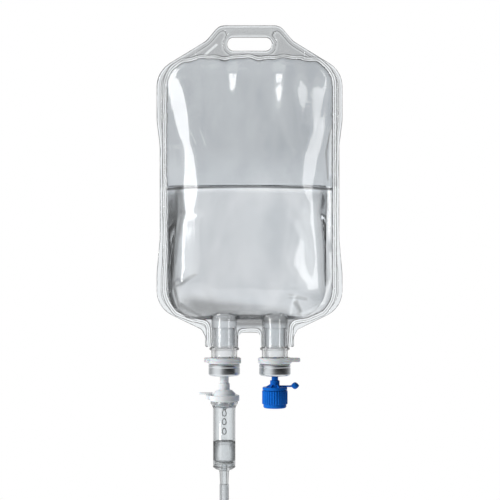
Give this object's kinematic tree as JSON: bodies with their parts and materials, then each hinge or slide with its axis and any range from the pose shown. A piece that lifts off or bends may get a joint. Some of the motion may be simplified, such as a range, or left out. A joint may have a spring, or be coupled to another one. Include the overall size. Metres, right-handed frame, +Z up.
{
  "type": "iv fluid bag",
  "caption": "Clear hanging fluid bag with two ports, a capped blue adapter and a giving set with drip chamber, tube, roller clamp and luer end.",
  "frame": {"origin": "middle of the hanging slot's upper edge, on the bag's middle plane", "axes": "+Z up along the bag's length, +Y to the back through its thickness, +X across it to the right port"},
  "size_m": [0.1244, 0.0414, 0.4874],
  "materials": {
    "film_clear": "clear glossy film",
    "water": "clear water",
    "port_plastic": "translucent satin plastic",
    "stopper_rubber": "matt grey rubber",
    "crimp_aluminium": "brushed satin",
    "spike_white": "white moulded plastic",
    "filter_felt": "matt white felt",
    "chamber_clear": "clear moulded plastic",
    "adapter_blue": "blue moulded plastic",
    "tube_clear": "clear soft tube",
    "tie_white": "white tie"
  },
  "bodies": {
    "bag": {"front_film": "film_clear", "back_film": "film_clear", "bag_fluid": "water", "left_port_tube": "port_plastic", "left_port_collar": "port_plastic", "left_port_stopper": "stopper_rubber", "left_crimp_cap": "crimp_aluminium", "right_port_tube": "port_plastic", "right_port_collar": "port_plastic", "right_port_stopper": "stopper_rubber", "right_crimp_cap": "crimp_aluminium"},
    "giving_set": {"spike": "spike_white", "vent_filter": "filter_felt", "drop_former": "spike_white", "drip_chamber": "chamber_clear", "chamber_base": "chamber_clear", "fluid_filter": "filter_felt", "chamber_fluid": "water", "infusion_tube": "tube_clear", "tube_coil": "tube_clear", "tube_tie_upper": "tie_white", "tube_tie_side": "tie_white", "luer_connector": "spike_white"},
    "vent": {"vent_flap": "spike_white"},
    "clamp": {"clamp_housing": "spike_white"},
    "wheel": {"clamp_wheel": "spike_white"},
    "luer_cap": {"luer_cap": "adapter_blue"},
    "adapter": {"adapter": "adapter_blue"},
    "liner": {"cap_liner": "filter_felt"},
    "screw_cap": {"screw_cap": "adapter_blue"}
  },
  "joints": [
    {"name": "set_pull", "type": "slide", "parent": "bag", "child": "giving_set", "axis": [0, 0, -1], "range_m": [0, 0.022]},
    {"name": "vent_flap_hinge", "type": "hinge", "parent": "giving_set", "child": "vent", "pos_m": [-0.02535, 0, -0.23835], "axis": [0, 1, 0], "range_deg": [0, 95]},
    {"name": "clamp_slide", "type": "slide", "parent": "giving_set", "child": "clamp", "axis": [0, 0, -1], "range_m": [0, 0.012]},
    {"name": "wheel_slide", "type": "slide", "parent": "clamp", "child": "wheel", "axis": [0, 0, -1], "range_m": [0, 0.018]},
    {"name": "luer_cap_pull", "type": "slide", "parent": "giving_set", "child": "luer_cap", "axis": [0, 0, 1], "range_m": [0, 0.012]},
    {"name": "adapter_pull", "type": "slide", "parent": "bag", "child": "adapter", "axis": [0, 0, -1], "range_m": [0, 0.022]},
    {"name": "cap_travel", "type": "slide", "parent": "adapter", "child": "liner", "axis": [0, 0, -1], "range_m": [0, 0.003]},
    {"name": "cap_turn", "type": "hinge", "parent": "liner", "child": "screw_cap", "pos_m": [0.01695, 0, -0.24], "axis": [0, 0, -1], "range_deg": [0, 540]}
  ],
  "couplings": [
    {"joint": "cap_travel", "follows": "cap_turn", "m_per_rad": 0.000318}
  ]
}
